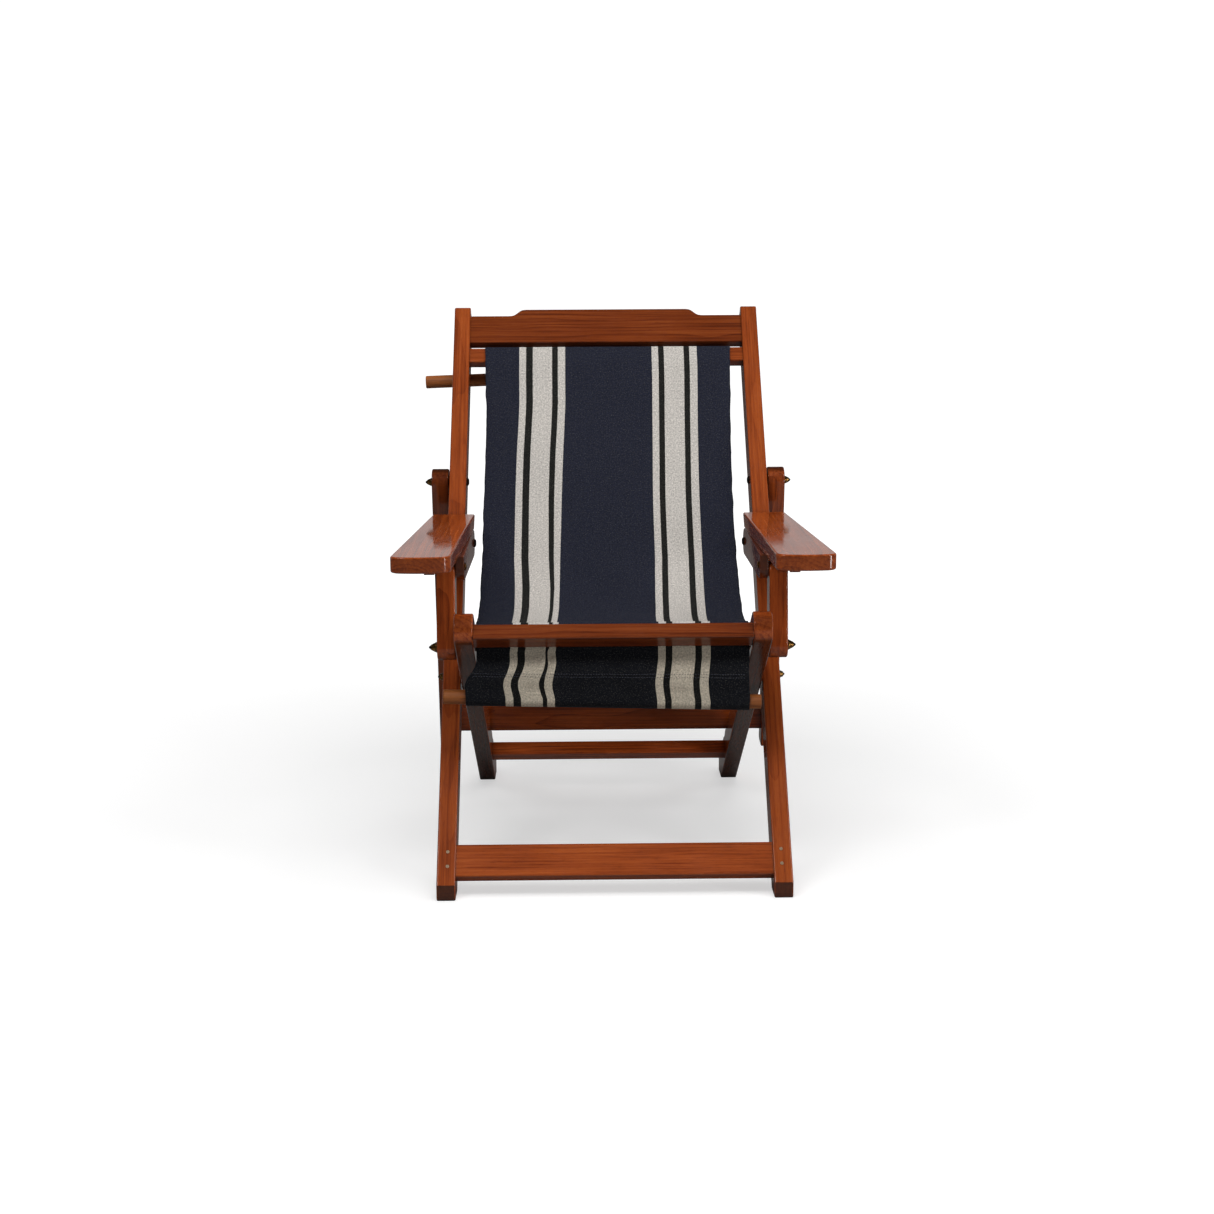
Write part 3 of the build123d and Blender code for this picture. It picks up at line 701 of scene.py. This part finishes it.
def nearest_row(point):
    return int(np.argmin(np.linalg.norm(profile - np.array(point), axis=1)))


hang_start = nearest_row(hang_start_point)
hang_end = nearest_row(hang_end_point)
flap_end = nearest_row(flap_end_point)
start_run, end_run = length[hang_start], length[hang_end]


def sling_grid(half):
    """The profile drawn across the chair; half is the half width, fixed or one per row."""
    y, z = profile[:, :1], profile[:, 1:]
    row = np.arange(rows)[:, None]
    # the loop follows the tilted rod fully, the hem and flap less with height
    in_loop = (row >= len(top_hem)) & (row < len(top_hem) + len(rod_loop))
    tilt_share = np.where(in_loop, 1.0, 1 - smooth(z, TOP_Z + 4, FLAP_TOP)) * (row <= flap_end)
    x = (COLUMN_U - 0.5) * 2 * half
    lift = x * math.tan(math.radians(TOP_TILT_DEG)) * tilt_share
    return np.stack(np.broadcast_arrays(x, y, z + lift), -1)


# ------------------------------------------------------------------ cloth simulation
SIM_FRAMES = 36
MAX_MOVE = 90.0                     # mm
CLOTH = {
    "quality": 7, "mass": 0.0016,
    "tension_stiffness": 55.0, "compression_stiffness": 28.0,
    "shear_stiffness": 12.0, "bending_stiffness": 1.3,
    "tension_damping": 12.0, "compression_damping": 12.0,
    "shear_damping": 8.0, "bending_damping": 1.0, "air_damping": 2.0,
}


def simulate(start, rest):
    """Lets the hanging cloth settle from start, with rest as its unstretched shape."""
    ob = grid_object("sling_sim", rest, COLUMN_U, length / 1000.0)
    ob.shape_key_add(name="Basis")
    key = ob.shape_key_add(name="start")
    key.data.foreach_set("co", to_metres(start).astype(np.float32).ravel())
    key.value = 1.0
    pin_rows = [i for i in range(rows) if i <= hang_start + 1 or i >= hang_end - 1]
    group = ob.vertex_groups.new(name="pin")
    group.add([i * COLS + j for i in pin_rows for j in range(COLS)], 1.0, "REPLACE")
    cloth = ob.modifiers.new("Cloth", "CLOTH")
    for setting, value in CLOTH.items():
        setattr(cloth.settings, setting, value)
    cloth.settings.vertex_group_mass = "pin"
    cloth.settings.rest_shape_key = ob.data.shape_keys.key_blocks["Basis"]
    cloth.collision_settings.use_collision = False
    cloth.point_cache.frame_start = 1
    cloth.point_cache.frame_end = SIM_FRAMES
    scene = bpy.context.scene
    scene.frame_start, scene.frame_end = 1, SIM_FRAMES
    for step in range(1, SIM_FRAMES + 1):
        scene.frame_set(step)
    graph = bpy.context.evaluated_depsgraph_get()
    settled = np.zeros(rows * COLS * 3, np.float32)
    ob.evaluated_get(graph).data.vertices.foreach_get("co", settled)
    settled = settled.reshape(rows, COLS, 3).astype(float) * 1000.0 + (0, SHIFT, 0)
    scene.frame_set(1)
    bpy.data.objects.remove(ob)
    # guards against a solver that has blown up
    moved = np.linalg.norm(settled - start, axis=2)
    if not np.isfinite(settled).all() or moved.max() > MAX_MOVE:
        return start
    return settled


# the cloth narrows just before the seat slot rail
narrowing = smooth(length, end_run - 75.0, end_run - 5.0)[:, None]
start = sling_grid(HALF_TOP + (HALF_SEAT - HALF_TOP) * narrowing)
rest = sling_grid(HALF_TOP)
# a little unevenness to start the folds
share, run = np.meshgrid(COLUMN_U, length)
hanging = smooth(run, start_run, start_run + 40) * (1 - smooth(run, end_run - 30, end_run))
start[:, :, 2] += hanging * NOISES[0](share * 7 + 3, run / 90.0) * 1.2
shape = simulate(start, rest)

# ------------------------------------------------------------------ drift of the woven bands
# texture coordinate at each tracked band edge
BAND_U = np.array([0.0, 0.1384, 0.2707, 0.2955, 0.3244, 0.6777, 0.8636, 1.0])
# height in mm, then the share of the width at which each inner edge of BAND_U lies
BAND_TABLE = np.array([
    (318.0, 0.1390, 0.2697, 0.2849, 0.3099, 0.6720, 0.8570),
    (327.0, 0.1390, 0.2697, 0.2849, 0.3099, 0.6720, 0.8570),
    (343.0, 0.1330, 0.2580, 0.2776, 0.3021, 0.6670, 0.8520),
    (360.0, 0.1280, 0.2530, 0.2730, 0.2978, 0.6637, 0.8504),
    (376.0, 0.1250, 0.2540, 0.2665, 0.2920, 0.6636, 0.8520),
    (392.0, 0.1210, 0.2535, 0.2600, 0.2879, 0.6626, 0.8531),
    (406.0, 0.1190, 0.2524, 0.2575, 0.2840, 0.6624, 0.8535),
    (432.0, 0.1290, 0.2640, 0.2755, 0.2950, 0.6650, 0.8535),
    (440.0, 0.1310, 0.2670, 0.2800, 0.2986, 0.6687, 0.8560),
    (463.0, 0.1300, 0.2670, 0.2835, 0.3010, 0.6723, 0.8587),
    (510.0, 0.1240, 0.2590, 0.2802, 0.3025, 0.6773, 0.8611),
    (611.0, 0.1246, 0.2569, 0.2810, 0.3086, 0.6774, 0.8613),
    (700.0, 0.1260, 0.2598, 0.2846, 0.3126, 0.6784, 0.8620),
    (790.0, 0.1333, 0.2678, 0.2925, 0.3198, 0.6786, 0.8623),
    (880.0, 0.1376, 0.2707, 0.2955, 0.3232, 0.6772, 0.8600)])


def band_coordinates(heights):
    """Texture coordinate across the cloth for every column, a row for each height."""
    out = []
    for z in heights:
        inner = [float(np.interp(z, BAND_TABLE[:, 0], BAND_TABLE[:, k])) for k in range(1, 7)]
        out.append(np.interp(COLUMN_U, [0.0] + inner + [1.0], BAND_U))
    return np.array(out)


# ------------------------------------------------------------------ folds given one by one (mm)
# ripples running into the seat slot
near_slot = (smooth(run, end_run - 190, end_run - 8)
             * (1 - smooth(run, end_run + 2, end_run + 22)))
ripple = (np.sin(share * 2 * math.pi * 5.3 + 1.1 + 0.8 * NOISES[1](share * 5, run / 120.0))
          * (0.5 + 0.5 * np.abs(2 * share - 1)))
shape[:, :, 2] += near_slot * ripple * 1.7 * hanging ** 0.5
# broad and small waves over the hanging cloth
slack = (smooth(run, start_run, start_run + 60)
         * (1 - smooth(run, end_run - 60, end_run)))
shape[:, :, 1] += slack * (NOISES[2](share * 3.1 + 7, run / 210.0 + 3) * 2.4
                           + NOISES[3](share * 8 + 1, run / 80.0) * 0.8)
# a slanting pinch by the inner stripes on the -X side, just behind the seat edge
pinch_across = (share - 0.275) / 0.032
pinch_along = (run - (end_run - 62.0)) / 42.0
skew = pinch_across + pinch_along * 0.9
shape[:, :, 2] += ((np.exp(-skew ** 2) - 0.6 * np.exp(-((skew - 1.8) ** 2)))
                   * np.exp(-pinch_along ** 2) * 4.2)
# selvedges curl down a touch and wander
edge = selvedge(share)
shape[:, :, 2] -= slack * edge ** 2 * 2.6
wobble = (NOISES[4](by_side(share, 3.0, 9.0), run / 26.0) * 0.9
          + NOISES[5](by_side(share, 5.0, 2.0), run / 9.0) * 0.35)
shape[:, :, 0] += (np.sign(2 * share - 1) * edge * wobble
                   * (1 - smooth(run, end_run - 80, end_run - 30)))
# the cloth draws in along the hang, and its upper part sits off centre towards +X
draw_in = (smooth(run, start_run, start_run + 120)
           * (1 - smooth(run, end_run - 150, end_run - 40)))
shape[:, :, 0] *= 1 - 0.014 * draw_in
shape[:, :, 0] += 2.6 * (1 - smooth(run, start_run + 60, start_run + 330))

# ------------------------------------------------------------------ sling
# above and below the hang the bands keep their places at fixed heights
row_index = np.arange(rows)
band_heights = np.where(row_index < hang_start, 860.0,
                        np.where(row_index > hang_end, 436.0, profile[:, 1]))
sling_canvas = canvas("striped_canvas", SLING_YARNS)
sling = grid_object("canvas_sling", shape, band_coordinates(band_heights), length / 1000.0)
thicken(sling)
sling.data.materials.append(sling_canvas)
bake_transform(sling)
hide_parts("canvas_back", "canvas_seat")

# ------------------------------------------------------------------ front hem
# Hangs from the seat slot, passes round the front rod and rises to its free edge.
hem_drop = resample(catmull([
    seat_point(33.6, -6.0), seat_point(32.8, -18.0), (HINGE_Y - 0.3, HINGE_Z - 8.0),
    (FRONT_Y - LOOP_R - 1.5, FRONT_Z + 48.0), (FRONT_Y - LOOP_R - 0.6, FRONT_Z + 20.0),
    (FRONT_Y - LOOP_R, FRONT_Z)], 12), 3.0)
hem_loop = resample(arc(FRONT_Y, FRONT_Z, LOOP_R, 180, 390, 42), 2.4)
hem_rise = resample(catmull([
    hem_loop[-1], (FRONT_Y + 5.5, FRONT_Z + 24.0), (FRONT_Y - LOOP_R + 1.2, FRONT_Z + 38.0),
    (FRONT_Y - LOOP_R + 0.2, FRONT_Z + 48.0)], 10), 3.0)
hem_profile = np.vstack([hem_drop, hem_loop[1:], hem_rise[1:]])
hem_length = run_lengths(hem_profile)
share, run = np.meshgrid(COLUMN_U, hem_length)
height = hem_profile[:, 1][:, None] + 0 * share


def lowered(low, high):
    """1 below the height low, 0 above high."""
    return 1 - smooth(height, low, high)


hem = np.zeros((len(hem_profile), COLS, 3))
half = HALF_SEAT + (HALF_HEM - HALF_SEAT) * lowered(FRONT_Z + 20.0, HINGE_Z - 18.0)
hem[:, :, 0] = (share - 0.5) * 2 * half
hem[:, :, 1] = hem_profile[:, 0][:, None]
# tilt with the rod, and a shift towards -X
hem[:, :, 2] = (height + hem[:, :, 0] * math.tan(math.radians(FRONT_TILT_DEG))
                * lowered(FRONT_Z + 16.0, HINGE_Z - 10.0))
hem[:, :, 0] += -9.5 * lowered(FRONT_Z + 24.0, HINGE_Z - 12.0)
# pleats between the rod and the slot
free = (smooth(height, FRONT_Z + 14, FRONT_Z + 34)
        * lowered(HINGE_Z - 24, HINGE_Z - 6))
pleat = (np.sin(share * 2 * math.pi * 6.2 + 0.7 + 1.3 * NOISES[1](share * 4 + 2, run / 60.0))
         * 1.3 + NOISES[2](share * 9 + 1, run / 45.0) * 1.4)
hem[:, :, 1] += free * pleat
# one sharp tuck on the -X side
tuck = (share - 0.262 - 0.006 * np.sin(run / 30.0)) / 0.011
hem[:, :, 1] += ((np.exp(-tuck ** 2) * 2.6 - np.exp(-(tuck - 2.2) ** 2) * 1.8)
                 * smooth(height, FRONT_Z - 2, FRONT_Z + 20)
                 * lowered(HINGE_Z - 16, HINGE_Z - 4))
# selvedges wander and curl forward
edge = selvedge(share)
hem[:, :, 0] += (np.sign(2 * share - 1) * edge
                 * (NOISES[3](by_side(share, 3.0, 9.0), run / 14.0) * 0.7)
                 * lowered(HINGE_Z - 34.0, HINGE_Z - 14.0))
hem[:, :, 1] -= edge ** 2 * 1.6 * free

# the weave carries on from the sling with a 20 mm overlap
hem_cloth = grid_object("canvas_front_hem_cloth", hem, band_coordinates(hem_profile[:, 1]),
                        (hem_length + length[-1] - 20.0) / 1000.0)
thicken(hem_cloth)
# the front hem gets its own darker canvas: painted shade
hem_cloth.data.materials.append(canvas("striped_canvas_front_shaded", SHADED_FRONT_YARNS))
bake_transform(hem_cloth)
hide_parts("canvas_front_hem")

# ------------------------------------------------------------------ sewing (mm)
THREAD_R = 0.42
THREAD_SIDES = 6
STITCH_PITCH, STITCH_LENGTH = 4.6, 3.3
STITCH_FROM, STITCH_TO = 0.012, 0.988          # shares of the cloth width
STITCH_OFF = 1.15                              # from the middle of the cloth, along y
# rings of a stitch: share of its length, share of the thread radius
STITCH_RINGS = [(0.12, 0.75), (0.3, 1.0), (0.7, 1.0), (0.88, 0.75)]


def stitches(name, segments, body):
    """Short thread stitches as closed tubes with pointed ends."""
    verts, faces = [], []
    for start, end in segments:
        start, end = Vector(start), Vector(end)
        along = end - start
        reach = along.length
        along.normalize()
        side_a = along.orthogonal().normalized()
        side_b = along.cross(side_a)
        first = len(verts)
        verts.append(tuple(start))
        for at, swell in STITCH_RINGS:
            centre = start + along * (reach * at)
            for j in range(THREAD_SIDES):
                angle = 2 * math.pi * j / THREAD_SIDES
                verts.append(tuple(centre + side_a * (THREAD_R * swell * math.cos(angle))
                                   + side_b * (THREAD_R * swell * math.sin(angle))))
        tip = len(verts)
        verts.append(tuple(end))
        last = tip - THREAD_SIDES
        for j in range(THREAD_SIDES):
            j_next = (j + 1) % THREAD_SIDES
            faces.append((first, first + 1 + j_next, first + 1 + j))
            for ring in range(first + 1, last, THREAD_SIDES):
                above = ring + THREAD_SIDES
                faces.append((ring + j, ring + j_next, above + j_next, above + j))
            faces.append((last + j, last + j_next, tip))
    ob = mesh_object(name, np.array(verts), faces)
    ob.data.materials.append(THREAD)
    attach(ob, body)


def grid_point(grid, u, row):
    """Point on a grid at share u across and a fractional row."""
    col = np.interp(u, COLUMN_U, np.arange(COLS))
    j = min(int(col), COLS - 2)
    col_part = col - j
    i = min(int(row), grid.shape[0] - 2)
    row_part = row - i
    near = grid[i, j] * (1 - col_part) + grid[i, j + 1] * col_part
    far = grid[i + 1, j] * (1 - col_part) + grid[i + 1, j + 1] * col_part
    return near * (1 - row_part) + far * row_part


def stitch_row(grid, row, off_y):
    """End points of a row of slightly uneven stitches across the cloth."""
    cloth_width = 2 * HALF_TOP
    off = np.array([0, off_y, 0])
    segments = []
    count = int((STITCH_TO - STITCH_FROM) * cloth_width / STITCH_PITCH)
    for k in range(count):
        u_start = STITCH_FROM + (STITCH_TO - STITCH_FROM) * k / count
        u_end = u_start + STITCH_LENGTH / cloth_width
        slant = 0.25 * math.sin(k * 1.7)
        segments.append((grid_point(grid, u_start, row) + off + np.array([0, 0, slant]),
                         grid_point(grid, u_end, row) + off + np.array([0, 0, -slant])))
    return segments


THREAD = thread_material("sewing_thread", rgb(64, 66, 78))
# two rows on the front face of the front hem, two on the rear face of the top hem
front_row = int(np.argmin(np.abs(hem_drop[:, 1] - (FRONT_Z + 41.0))))
stitches("front_hem_stitches",
         stitch_row(hem, front_row, -STITCH_OFF) + stitch_row(hem, front_row - 1.7, -STITCH_OFF),
         "front_sling_end")
top_row = next(i for i in range(len(top_hem)) if abs(profile[i, 1] - (TOP_Z + 24.0)) < 6)
stitches("top_hem_stitches",
         stitch_row(shape, top_row + 0.2, STITCH_OFF)
         + stitch_row(shape, top_row + 1.6, STITCH_OFF),
         "long_frame")

# ------------------------------------------------------------------ floor
FLOOR_R, FLOOR_SIDES = 40.0, 96


def floor_material():
    """Pale and self-lit to the eye, dimmer as a reflector so shaded wood keeps its depth."""
    mat = Material("pale_floor")
    seen = mat.node("ShaderNodeLightPath").outputs["Is Camera Ray"]
    # the glow grows with distance from the chair
    far = mat.sub(mat.vmath("LENGTH", mat.coords()), 0.75)
    far = mat.remap(far, (0.0, 2.6), (0.0, 1.0))
    mat.set(base=mat.mix(seen, (0.30, 0.295, 0.29, 1), (0.56, 0.56, 0.56, 1)),
            rough=0.8, spec=0.0, glow=(1, 1, 1, 1),
            glow_strength=mat.mul(seen, mat.math("MULTIPLY_ADD", far, 0.52, 0.54)))
    return mat.material


mesh = bpy.data.meshes.new("floor")
rim = [(math.cos(2 * math.pi * i / FLOOR_SIDES) * FLOOR_R,
        math.sin(2 * math.pi * i / FLOOR_SIDES) * FLOOR_R, 0.0) for i in range(FLOOR_SIDES)]
mesh.from_pydata(rim, [], [tuple(range(FLOOR_SIDES))])
floor = bpy.data.objects.new("floor", mesh)
bpy.context.scene.collection.objects.link(floor)
mesh.materials.append(floor_material())

# ------------------------------------------------------------------ world
# White to the eye; reflections see it bright low behind the chair and dim elsewhere.
SEEN_STRENGTH = 1.05
AMBIENT = 0.15                      # diffuse light
GLOSS_BACK, GLOSS_FRONT = 0.52, 0.025

world = bpy.data.worlds.new("studio")
bpy.context.scene.world = world
sky = Graph(world)


def choose(flag, if_on, if_off):
    return sky.add(sky.mul(flag, if_on), sky.mul(sky.sub(1.0, flag), if_off))


_, sky_y, sky_z = sky.split(sky.coords("Generated"))
rays = sky.node("ShaderNodeLightPath").outputs
high = sky.math("MULTIPLY", sky.sub(sky_z, 0.25), 4.0, clamp=True)
low = sky.math("SUBTRACT", 1.0, high, clamp=True)
behind = sky.mul(low, sky.math("MULTIPLY_ADD", sky_y, 2.5, 0.2, clamp=True))
reflected = sky.math("MULTIPLY_ADD", behind, GLOSS_BACK - GLOSS_FRONT, GLOSS_FRONT)
strength = choose(rays["Is Glossy Ray"], reflected, AMBIENT)
strength = choose(rays["Is Camera Ray"], SEEN_STRENGTH, strength)
background = sky.node("ShaderNodeBackground", {0: (1.0, 1.0, 1.0, 1), 1: strength})
sky.node("ShaderNodeOutputWorld", {0: background.outputs[0]})


# ------------------------------------------------------------------ lights
def area(name, place, size, power, target=(0, 0, 0.45), glossy=True):
    """Rectangular light of size (x, y) aimed at the target."""
    light = bpy.data.lights.new(name, "AREA")
    light.shape = "RECTANGLE"
    light.size, light.size_y = size
    light.energy = power
    ob = bpy.data.objects.new(name, light)
    ob.location = place
    ob.rotation_mode = "QUATERNION"
    ob.rotation_quaternion = (Vector(target) - Vector(place)).to_track_quat("-Z", "Y")
    bpy.context.scene.collection.objects.link(ob)
    ob.visible_camera = False
    ob.visible_glossy = glossy


area("key", place=(-1.9, -2.3, 3.2), size=(1.1, 0.8), power=28.0)
area("fill", place=(2.2, -1.9, 3.0), size=(1.0, 0.8), power=20.0)
area("top", place=(0.0, -1.3, 3.3), size=(2.4, 2.4), power=68.0, target=(0, 0, 0.4),
     glossy=False)
area("side", place=(2.5, -1.9, 0.50), size=(0.42, 0.96), power=21.0, target=(0, -0.2, 0.5))
area("rear", place=(0.9, 3.0, 2.2), size=(1.6, 1.6), power=15.0, glossy=False)

# ------------------------------------------------------------------ camera
YAW, PITCH, ROLL = 0.0141, 0.1807, -0.0053     # radians
CAMERA_CM = (-1.1214, -300.0, 104.7884)        # from the front toes, before the yaw

camera_data = bpy.data.cameras.new("camera")
camera = bpy.data.objects.new("camera", camera_data)
bpy.context.scene.collection.objects.link(camera)
camera_data.sensor_width = 36.0
camera_data.lens = 55.42468369
camera_data.clip_start, camera_data.clip_end = 0.05, 200.0
yaw_cos, yaw_sin = math.cos(YAW), math.sin(YAW)
turn = Matrix(((yaw_cos, yaw_sin, 0), (-yaw_sin, yaw_cos, 0), (0, 0, 1)))
forward = turn @ Vector((0, math.cos(PITCH), -math.sin(PITCH)))
level_right = turn @ Vector((1, 0, 0))
right = level_right * math.cos(ROLL) + level_right.cross(forward) * math.sin(ROLL)
pose = Matrix((right, right.cross(forward), -forward)).transposed().to_4x4()
pose.translation = (turn @ Vector(CAMERA_CM)) / 100.0 - Vector((0, SHIFT / 1000.0, 0))
camera.matrix_world = pose
bpy.context.scene.camera = camera
bpy.context.scene.view_settings.view_transform = "Standard"
